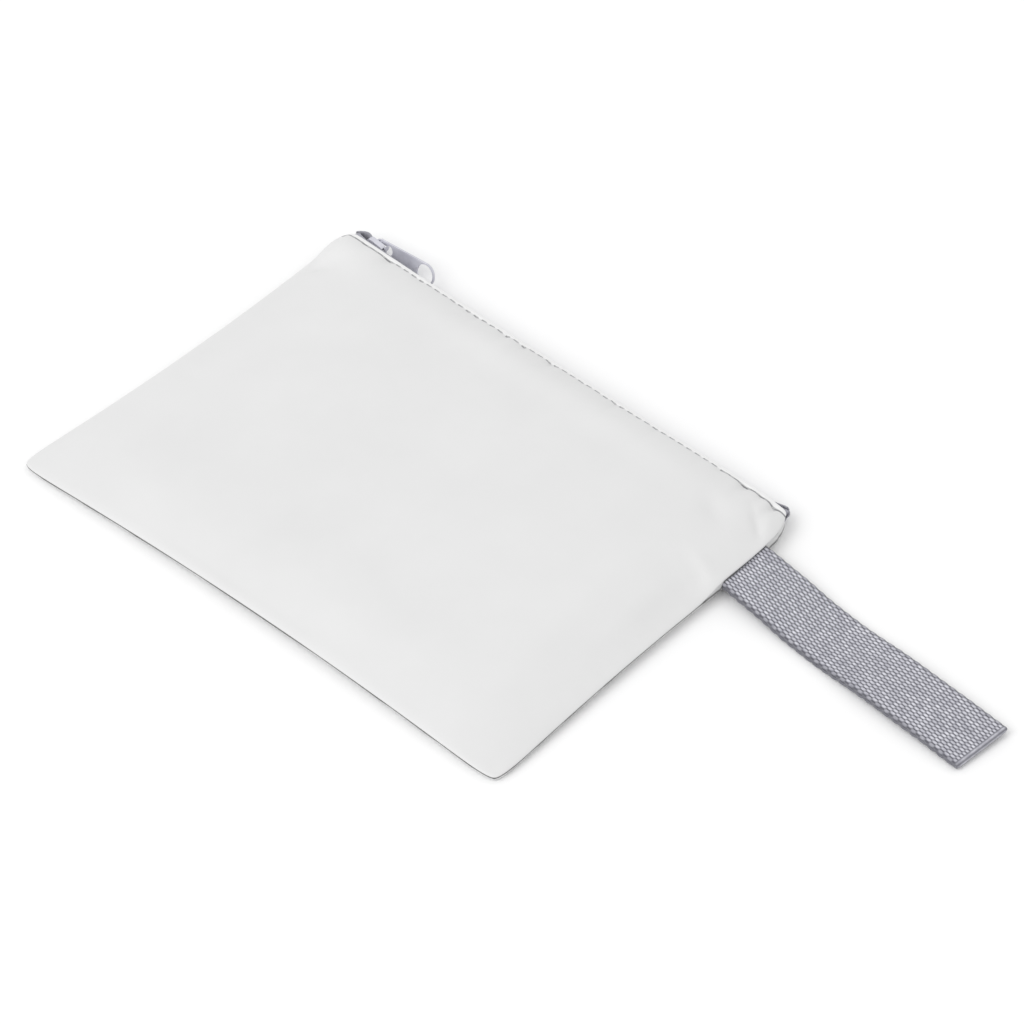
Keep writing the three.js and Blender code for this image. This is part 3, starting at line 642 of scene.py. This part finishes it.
def wave_rise(points, from_seam, seed):
    rise = np.zeros(len(points))
    for index, (x, y, _) in enumerate(points):
        near_seam = math.exp(-from_seam[index] / (GATHER_REACH * MM))
        waves = wave_at(x, y, BROAD_WAVE, seed) + wave_at(x, y, SMALL_WAVE, seed + 5)
        rise[index] = (waves + wave_at(x, y, SEAM_GATHER, seed + 9) * near_seam) * MM
    return rise


# %% Puckers along the zip
PUCKER_DEPTH, PUCKER_FROM, PUCKER_BAND = 2.6, 3, 22  # mm
PUCKERS_START, PUCKERS_GROW = 1.6, 1.6  # mm from the zip's edge, and mm to their full depth
PUCKER_STEPS, REACH_STEPS = (210, 40), 45  # noise steps in a metre
SHORT_PUCKER, LONGER_BY = 5, 9  # mm in from the zip


def zip_puckers(points, from_zip, seed):
    """Small dents, just inside the row of stitches, that run in from the zip."""
    rise = np.zeros(len(points))
    for index in np.flatnonzero(from_zip < PUCKER_BAND * MM):
        x, y, inward = points[index, 0], points[index, 1], from_zip[index] / MM
        dent = max(0, noise.noise(Vector((x * PUCKER_STEPS[0], y * PUCKER_STEPS[1], seed))) - 0.05)
        reach = SHORT_PUCKER + LONGER_BY * max(0, noise.noise(Vector((x * REACH_STEPS, 0, seed + 3))))
        rise[index] = -PUCKER_DEPTH * MM * dent * math.exp(-max(0, inward - PUCKER_FROM) / reach)
    return rise * ease((from_zip / MM - PUCKERS_START) / PUCKERS_GROW)


# %% Crease a wall
SEAM_HOLDS = 6  # mm from the seams over which the folds and waves come in
PAST_ZIP = 12  # mm that the zip's line is carried on past its ends


def crease_wall(wall, outline, folds, seed):
    points = points_of(wall)
    from_seam, _ = line_distance(points, np.vstack([outline, outline[:1]]))
    from_zip, _ = line_distance(points, zip_edge(outline, past=PAST_ZIP * MM))
    held = ease(from_seam / (SEAM_HOLDS * MM))
    points[:, 2] += (fold_rise(points, folds) + wave_rise(points, from_seam, seed)) * held
    points[:, 2] += zip_puckers(points, from_zip, seed + 11)
    set_points(wall, points)


# %% The wall's own map: how far along the zip, and how far in from it, in millimetres
def map_from_zip(piece, outline):
    in_from_zip, along = line_distance(points_of(piece), zip_edge(outline, past=PAST_ZIP * MM))
    corners = np.zeros(len(piece.data.loops), np.int32)
    piece.data.loops.foreach_get("vertex_index", corners)
    values = np.stack([along[corners], in_from_zip[corners]], 1) / MM
    piece.data.uv_layers.new(name="from_zip").data.foreach_set("uv", values.astype(np.float32).ravel())


front_outline = outline_of("front_panel")
front_cloth = finer_wall("front_panel", "front_cloth")
crease_wall(front_cloth, front_outline, FRONT_FOLDS, 3)
map_from_zip(front_cloth, front_outline)
settle(front_cloth, "pouch", "white_cloth", CLOTH, "front_panel")

# %% [markdown]
# The back wall lies on the table, so it stays flat where it rests.

# %% The back wall
back_outline = outline_of("back_panel")
back_cloth = finer_wall("back_panel", "back_cloth")
map_from_zip(back_cloth, back_outline)
settle(back_cloth, "pouch", "white_cloth", CLOTH, "back_panel")

# %% [markdown]
# The two walls are sewn to each other round three sides. The measured walls keep a hair's breadth
# between them there, and on the real pouch the seam allowance closes it. It is a narrow strip of
# the same cloth, stood between the walls just inside their rim, and it stands on the strap where
# the strap comes out. Its finish carries painted shade: a little darker than the walls, and near
# black at its foot, to give the thin dark line that the photograph shows under the bottom and
# right edges.

# %% How high the strip stands at one place of the rim
SEAM_INSET, SEAM_BITE, STRAP_BITE = 0.6, 0.1, 0.2  # mm in from the rim, into a wall, into the strap
SEAM_THICK, LEAST_SEAM, UNDER_TOP = 0.4, 0.2, 0.3  # mm, the last one down into the front wall
front_skin = surface_of(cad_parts["front_panel"])
back_skin = surface_of(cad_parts["back_panel"])
strap_skin = surface_of(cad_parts["wrist_strap"])


def seam_heights(place):
    down, from_above = Vector((0, 0, -1)), Vector((place.x, place.y, RAYS_FROM))
    top = front_skin.ray_cast(from_above, down)[0]
    above = front_skin.ray_cast(top + down * UNDER_TOP * MM, down)[0].z + SEAM_BITE * MM
    below = back_skin.find_nearest(top)[0].z - SEAM_BITE * MM
    strap_top = strap_skin.ray_cast(from_above, down)[0]
    if strap_top is not None:
        below = strap_top.z - STRAP_BITE * MM
    return min(below, above - LEAST_SEAM * MM), above


# %% Stand the strip up between the walls
def seam_strip(rim):
    clear_selection()
    bpy.ops.mesh.primitive_grid_add(x_subdivisions=len(rim) - 1, y_subdivisions=1, size=1)
    strip = bpy.context.object
    strip.name = strip.data.name = "side_seam"
    points, from_foot = [], []
    for x, y, _ in points_of(strip):
        station = round((x + 0.5) * (len(rim) - 1))
        corner = Vector((*rim[station], 0))
        ahead = Vector((*rim[min(station + 1, len(rim) - 1)], 0)) - Vector((*rim[max(station - 1, 0)], 0))
        inward = Vector((-ahead.y, ahead.x, 0)).normalized()
        place = corner + inward * SEAM_INSET * MM
        low, high = seam_heights(place)
        points.append((place.x, place.y, low if y < 0 else high))
        from_foot.append(0 if y < 0 else (high - low) / MM)
    set_points(strip, points)
    for loop, place in zip(strip.data.loops, strip.data.uv_layers.active.data):
        place.uv = (0, from_foot[loop.vertex_index])
    thick = strip.modifiers.new("thickness", "SOLIDIFY")
    thick.thickness = SEAM_THICK * MM
    thick.offset = 0
    finish_modifiers(strip)
    edit(strip)
    bpy.ops.mesh.normals_make_consistent(inside=False)
    bpy.ops.object.mode_set(mode="OBJECT")
    bpy.ops.object.shade_smooth_by_angle(angle=math.radians(40))
    return settle(strip, "pouch", "white_cloth", SEAM)


# %% From the zip's left end, round the bottom, to its right end
SEAM_START = math.radians(142)  # heading of the zip's left end from the pouch's middle
SEAM_STOPS_ABOVE, SEAM_STOPS_WITHIN = 0.0825, 0.1115  # metres, as for the zip's edge

turned = np.arctan2(front_outline[:, 1], front_outline[:, 0])
around = front_outline[np.argsort((turned - SEAM_START) % (2 * math.pi))]
beside_zip = (around[:, 1] > SEAM_STOPS_ABOVE) & (np.abs(around[:, 0]) < SEAM_STOPS_WITHIN)
seam_strip(around[~beside_zip])

# %% [markdown]
# ## The zip's tapes
#
# A tape is a narrow woven ribbon, sewn under each wall's turned edge. Most of it is hidden, so the
# measured shape is enough, with its long edges shaded soft and a fine weave on it.

# %% The tapes
for side in ("front", "back"):
    tape = copy_of_node(f"zip_tape_{side}", f"tape_{side}")
    bpy.ops.object.shade_smooth_by_angle(angle=math.radians(40))
    settle(tape, "pouch", "grey_tape", TAPE, f"zip_tape_{side}")

# %% [markdown]
# ## The coil
#
# The chain is two nylon coils whose turns hook into each other down the middle. One turn is a
# ring, stretched flat, and it is repeated along the chain at the real pitch, left and right in
# turn. The path comes from the measured chain: rays from outside find its face, its height and
# its width at every turn.

# %% Read the chain's path
CHAIN_THICKNESS = 1.1


def chain_stations():
    chain = surface_of(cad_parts["zip_coil"])
    low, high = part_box("zip_coil")
    stations = []
    for x in np.arange(low.x + 0.4 * MM, high.x - 0.4 * MM, COIL_PITCH / 2 * MM):
        hits = []
        for z in np.arange(low.z, high.z, 0.2 * MM):
            place = chain.ray_cast(Vector((x, 0.2, z)), Vector((0, -1, 0)))[0]
            if place is not None:
                hits.append(place)
        face = max(hit.y for hit in hits)
        flat = [hit.z for hit in hits if face - hit.y < 0.35 * MM]
        stations.append((x, face, (min(flat) + max(flat)) / 2, (max(flat) - min(flat)) / 2))
    return np.array(stations)


def smoothed(values, reach):
    kernel = np.ones(2 * reach + 1) / (2 * reach + 1)
    return np.convolve(np.pad(values, reach, mode="edge"), kernel, mode="valid")


stations = chain_stations()
for column in (1, 2, 3):
    stations[:, column] = smoothed(stations[:, column], 4)
print(len(stations), "coil turns, half width", stations[:, 3].min() / MM, stations[:, 3].max() / MM)

# %% Between its ends the chain lies a little deeper, and behind the slider it heaps up
SUNK_FROM, SUNK_TO = (-97, -91), (100, 110)  # mm along the zip
SUNK_BY = 0.8
HEAP_AT, HEAP_REACH, HEAP_RISE = -104.0, 3.4, 1.5


def sunk_at(x):
    entering = ease((x / MM - SUNK_FROM[0]) / (SUNK_FROM[1] - SUNK_FROM[0]))
    leaving = ease((SUNK_TO[1] - x / MM) / (SUNK_TO[1] - SUNK_TO[0]))
    heaped = HEAP_RISE * MM * math.e ** -(((x / MM - HEAP_AT) / HEAP_REACH) ** 2)
    return SUNK_BY * MM * entering * leaving - heaped


# %% Shape one turn
WIRE = 0.66  # mm across the nylon
RING_WIRE = 0.32  # the ring's own wire, as a share of its radius


def one_turn():
    clear_selection()
    bpy.ops.mesh.primitive_torus_add(
        major_segments=12, minor_segments=5, major_radius=1, minor_radius=RING_WIRE, location=(0, 0, 0)
    )
    turn = bpy.context.object
    edit(turn)
    bpy.ops.transform.rotate(value=math.pi / 2, orient_axis="Y", center_override=(0, 0, 0))
    bpy.ops.object.mode_set(mode="OBJECT")
    return turn


def lay_copies(pattern, places, name):
    """Repeats a small shape: each place is a 4x4 matrix, and each copy has its own points."""
    shape = points_of(pattern)
    faces = [tuple(face.vertices) for face in pattern.data.polygons]
    points, polygons = [], []
    for place in places:
        matrix = np.array(place)
        start = len(points)
        points.extend((shape @ matrix[:3, :3].T + matrix[:3, 3]).tolist())
        polygons.extend([tuple(index + start for index in face) for face in faces])
    mesh = bpy.data.meshes.new(name)
    mesh.from_pydata(points, [], polygons)
    piece = bpy.data.objects.new(name, mesh)
    bpy.context.scene.collection.objects.link(piece)
    bpy.data.objects.remove(pattern)
    edit(piece)
    bpy.ops.mesh.normals_make_consistent(inside=False)
    bpy.ops.object.mode_set(mode="OBJECT")
    bpy.ops.object.shade_smooth()
    return piece


# %% Hook the turns into each other
TURN_LAP, TURN_LEAN = 0.45, 0.25  # mm past the chain's middle, and along it
TURN_WIDE, TURN_DEEP = 0.86, 0.78  # a ring's shares of the way across and of the chain's thickness


def turn_places():
    places = []
    for index, (x, face, middle, half) in enumerate(stations):
        side = 1 if index % 2 else -1
        before, after = stations[max(index - 1, 0)], stations[min(index + 1, len(stations) - 1)]
        along = Vector((after[0] - before[0], after[1] - before[1], 0)).normalized()
        outward = Vector((-along.y, along.x, 0))
        up = Vector((0, 0, 1))
        reach = half + TURN_LAP * MM
        sunk = (up + outward) * sunk_at(x)
        centre = Vector((x, face, middle)) + up * side * (half - reach / 2)
        centre -= outward * CHAIN_THICKNESS / 2 * MM + sunk
        lean = TURN_LEAN * side
        wide, deep = reach / 2 * TURN_WIDE, CHAIN_THICKNESS / 2 * MM * TURN_DEEP
        thick = WIRE / 2 * MM / RING_WIRE
        place = Matrix.Identity(4)
        place.col[0] = (*(along * thick), 0)
        place.col[1] = (*(outward * deep), 0)
        place.col[2] = (*(up * wide + along * lean * MM), 0)
        place.col[3] = (*centre, 1)
        places.append(place)
    return places


coil = lay_copies(one_turn(), turn_places(), "coil_turns")
settle(coil, "pouch", "grey_coil", COIL, "zip_coil")

# %% The cords that the turns are wound on fill the middle of the chain
cords = copy_of_node("zip_coil", "coil_cords")
softened = cords.modifiers.new("softened", "SUBSURF")
softened.levels = softened.render_levels = 2
finish_modifiers(cords)
bpy.ops.object.shade_smooth()
cord_points = points_of(cords)
cord_points[:, 1:] -= sunk_at(cord_points[:, 0])[:, None]
set_points(cords, cord_points)
settle(cords, "pouch", "grey_coil", CORD)

# %% [markdown]
# ## The slider and the pull
#
# Both are small die-cast pieces, painted grey. Their measured shapes are right, but a real casting
# has no knife edges: a narrow bevel on every sharp edge catches the light.

# %% Round the castings' edges
def rounded_casting(node, name, width):
    casting = copy_of_node(node, name)
    bevel = casting.modifiers.new("rounding", "BEVEL")
    bevel.width = width * MM
    bevel.segments = 3
    bevel.limit_method = "ANGLE"
    bevel.angle_limit = math.radians(50)
    bevel.use_clamp_overlap = True
    finish_modifiers(casting)
    bpy.ops.object.shade_smooth_by_angle(angle=math.radians(45))
    return casting


settle(rounded_casting("zip_slider", "slider_body", 0.14), "pouch", "painted_metal", METAL, "zip_slider")
settle(rounded_casting("zip_pull", "pull_tab", 0.2), "pull", "painted_metal", METAL, "zip_pull")

# %% [markdown]
# ## The wrist strap
#
# One length of 25 mm webbing, folded double and caught in the side seam. Its warp runs in 33 close
# yarns, each over two picks and under two, and its neighbours the other way round, so that the
# face is a wall of small long bricks. A flat grid is laid along the strap's own path, lower layer
# out, round the fold and upper layer back, its points rise and fall with those bricks, and
# thickness comes last.

# %% The strap's path, read from the measured strap
STRAP_START = Vector((116.96, 53.44, 0)) * MM
STRAP_TURN = math.radians(-4.7)
STRAP_WIDTH, STRAP_LENGTH, STRAP_HIDDEN, STRAP_BOW = 25.5, 120.4, 8.0, 0.8
WEBBING = 1.2
strap_way = Vector((math.cos(STRAP_TURN), math.sin(STRAP_TURN), 0))
strap_aside = Vector((-strap_way.y, strap_way.x, 0))

# %% Measure its two layers
LAYER_STEP = 3.0  # mm between the places where the measured strap is read
EDGE_READ = 12.0  # mm from the middle, where each edge's height is read


def strap_point(distance, aside):
    bow = STRAP_BOW * 4 * max(distance, 0) / STRAP_LENGTH * (1 - max(distance, 0) / STRAP_LENGTH)
    return STRAP_START + (strap_way * distance + strap_aside * (aside - bow)) * MM


def read_height(distance, aside, from_above):
    place = strap_point(distance, aside)
    start = Vector((place.x, place.y, RAYS_FROM if from_above else -RAYS_FROM))
    way = Vector((0, 0, -1 if from_above else 1))
    return strap_skin.ray_cast(start, way)[0].z / MM


STRAIGHT_END = STRAP_LENGTH - 1.35  # mm, where the fold's round starts
distances = np.arange(-STRAP_HIDDEN + 0.2, STRAIGHT_END, LAYER_STEP)
layer_heights = {}
for layer, from_above in (("lower", False), ("upper", True)):
    inward = -WEBBING / 2 if from_above else WEBBING / 2
    near, far = (
        smoothed(np.array([read_height(d, aside, from_above) + inward for d in distances]), 1)
        for aside in (-EDGE_READ, EDGE_READ)
    )
    layer_heights[layer] = (near, far)
    print(layer, "layer from", near.min().round(2), "to", near.max().round(2), "mm up")

# %% The path through both layers
def layer_point(layer, distance, aside):
    near, far = layer_heights[layer]
    share = (aside + EDGE_READ) / (2 * EDGE_READ)
    height = np.interp(distance, distances, near) * (1 - share) + np.interp(distance, distances, far) * share
    place = strap_point(distance, aside)
    return Vector((place.x, place.y, height * MM))


STRAIGHT = STRAIGHT_END + STRAP_HIDDEN
FOLD_RADIUS = 0.75
FOLD = math.pi * FOLD_RADIUS
PATH = 2 * STRAIGHT + FOLD


def path_point(walked, aside):
    if walked <= STRAIGHT:
        return layer_point("lower", walked - STRAP_HIDDEN, aside), Vector((0, 0, -1))
    if walked >= STRAIGHT + FOLD:
        return layer_point("upper", PATH - walked - STRAP_HIDDEN, aside), Vector((0, 0, 1))
    low = layer_point("lower", STRAIGHT_END, aside)
    high = layer_point("upper", STRAIGHT_END, aside)
    turn = (walked - STRAIGHT) / FOLD * math.pi - math.pi / 2
    radius = (high.z - low.z) / 2
    way = strap_way * math.cos(turn) + Vector((0, 0, math.sin(turn)))
    return low.lerp(high, 0.5) + way * radius, way


# %% Weave the webbing
YARNS = 33
FLOAT_LENGTH = 2.19  # mm along one yarn
FLOATS_ALONG = round(PATH / FLOAT_LENGTH)
CREST = 0.17  # mm that a float rises over the webbing's middle height
ROWS_A_FLOAT, COLUMNS_A_YARN = 4, 2
EDGE_ROUNDING, EDGE_BAND = 0.3, 0.9  # mm that the edges fall away, and over what width
EDGE_LOOP, LOOP_BAND = 0.08, 0.3  # mm that the weft's turns stand out, and over what width
FLOOR_CLEARANCE = 0.02


def crest_at(across, along):
    """1 in the middle of a float, -1 where the yarn is under, and even at the fold."""
    wave = math.sin(math.pi * across) * math.sin(math.pi * along)
    brick = math.copysign(abs(wave) ** 0.7, wave)
    from_fold = abs(along - FLOATS_ALONG / 2)
    share = ease((FOLD_RIBS[1] - from_fold) / (FOLD_RIBS[1] - FOLD_RIBS[0]))
    return 0.3 * share + brick * (1 - share)


def woven_strap():
    clear_selection()
    bpy.ops.mesh.primitive_grid_add(
        x_subdivisions=YARNS * COLUMNS_A_YARN, y_subdivisions=FLOATS_ALONG * ROWS_A_FLOAT, size=1
    )
    strap = bpy.context.object
    strap.name = strap.data.name = "woven_strap"
    points = []
    for x, y, _ in points_of(strap):
        across, along = (x + 0.5) * YARNS, (y + 0.5) * FLOATS_ALONG
        from_edge = (0.5 - abs(x)) * STRAP_WIDTH
        rounding = EDGE_ROUNDING * max(0, 1 - from_edge / EDGE_BAND) ** 2
        loop = EDGE_LOOP * math.sin(math.pi * along) * (from_edge < LOOP_BAND) * math.copysign(1, x)
        place, out = path_point((y + 0.5) * PATH, x * (STRAP_WIDTH - 0.2) + loop)
        points.append(place + out * (CREST * (crest_at(across, along) - 0.8) - rounding) * MM)
    set_points(strap, points)
    counts = strap.data.uv_layers.active.data
    values = np.zeros(len(counts) * 2, np.float32)
    counts.foreach_get("uv", values)
    counts.foreach_set("uv", (values.reshape(-1, 2) * (YARNS, FLOATS_ALONG)).astype(np.float32).ravel())
    thick = strap.modifiers.new("thickness", "SOLIDIFY")
    thick.thickness = (WEBBING - 0.1) * MM
    thick.offset = 0
    finish_modifiers(strap)
    edit(strap)
    bpy.ops.mesh.normals_make_consistent(inside=False)
    bpy.ops.object.mode_set(mode="OBJECT")
    bpy.ops.object.shade_smooth()
    lifted = points_of(strap)
    lifted[:, 2] = np.maximum(lifted[:, 2], FLOOR_CLEARANCE * MM)
    set_points(strap, lifted)
    return strap


settle(woven_strap(), "pouch", "grey_webbing", webbing_finish(FLOATS_ALONG / 2, YARNS), "wrist_strap")

# %% [markdown]
# ## Topstitching
#
# A row of stitches runs a few millimetres inside each turned edge of the zip. One stitch is a
# short thread with sunk ends. It is laid again and again along the edge, on the cloth that it
# sews, at the real stitch length.

# %% One stitch
STITCH_LENGTH, STITCH_THICK = 2.0, 0.36  # mm


def one_stitch():
    clear_selection()
    bpy.ops.mesh.primitive_uv_sphere_add(segments=8, ring_count=7, radius=0.5, location=(0, 0, 0))
    stitch = bpy.context.object
    edit(stitch)
    bpy.ops.transform.rotate(value=math.pi / 2, orient_axis="Y", center_override=(0, 0, 0))
    bpy.ops.transform.resize(
        value=(STITCH_LENGTH * MM, STITCH_THICK * MM, STITCH_THICK * MM), center_override=(0, 0, 0)
    )
    bpy.ops.object.mode_set(mode="OBJECT")
    return stitch


# %% Sew along the zip
ROW_FROM, ROW_TO_END = 2, 1.5  # mm from the first end of the edge, and left over at the other
THREAD_LIFT = 0.05  # mm


def stitch_places(wall, outline, from_above):
    skin = surface_of(wall)
    edge = zip_edge(outline)
    walked = np.r_[0, np.cumsum(np.hypot(*np.diff(edge, axis=0).T))]
    edge_at = lambda distance: Vector([np.interp(distance, walked, edge[:, k]) for k in (0, 1)] + [0])
    places = []
    for distance in np.arange(ROW_FROM * MM, walked[-1] - ROW_TO_END * MM, STITCH_PITCH * MM):
        along = (edge_at(distance + 2 * MM) - edge_at(distance - 2 * MM)).normalized()
        place = edge_at(distance) - Vector((-along.y, along.x, 0)) * HEM_WIDTH * MM
        start = Vector((place.x, place.y, RAYS_FROM if from_above else -RAYS_FROM))
        hit, normal, _, _ = skin.ray_cast(start, Vector((0, 0, -1 if from_above else 1)))
        if hit is None:
            continue
        aside = normal.cross(along).normalized()
        along = aside.cross(normal).normalized()
        matrix = Matrix.Identity(4)
        for column, vector in enumerate((along, aside, normal)):
            matrix.col[column] = (*vector, 0)
        matrix.col[3] = (*(hit + normal * THREAD_LIFT * MM), 1)
        places.append(matrix)
    return places


for wall, outline, from_above, name in (
    (front_cloth, front_outline, True, "topstitch_front"),
    (back_cloth, back_outline, False, "topstitch_back"),
):
    row = lay_copies(one_stitch(), stitch_places(wall, outline, from_above), name)
    settle(row, "pouch", "white_cloth", THREAD)
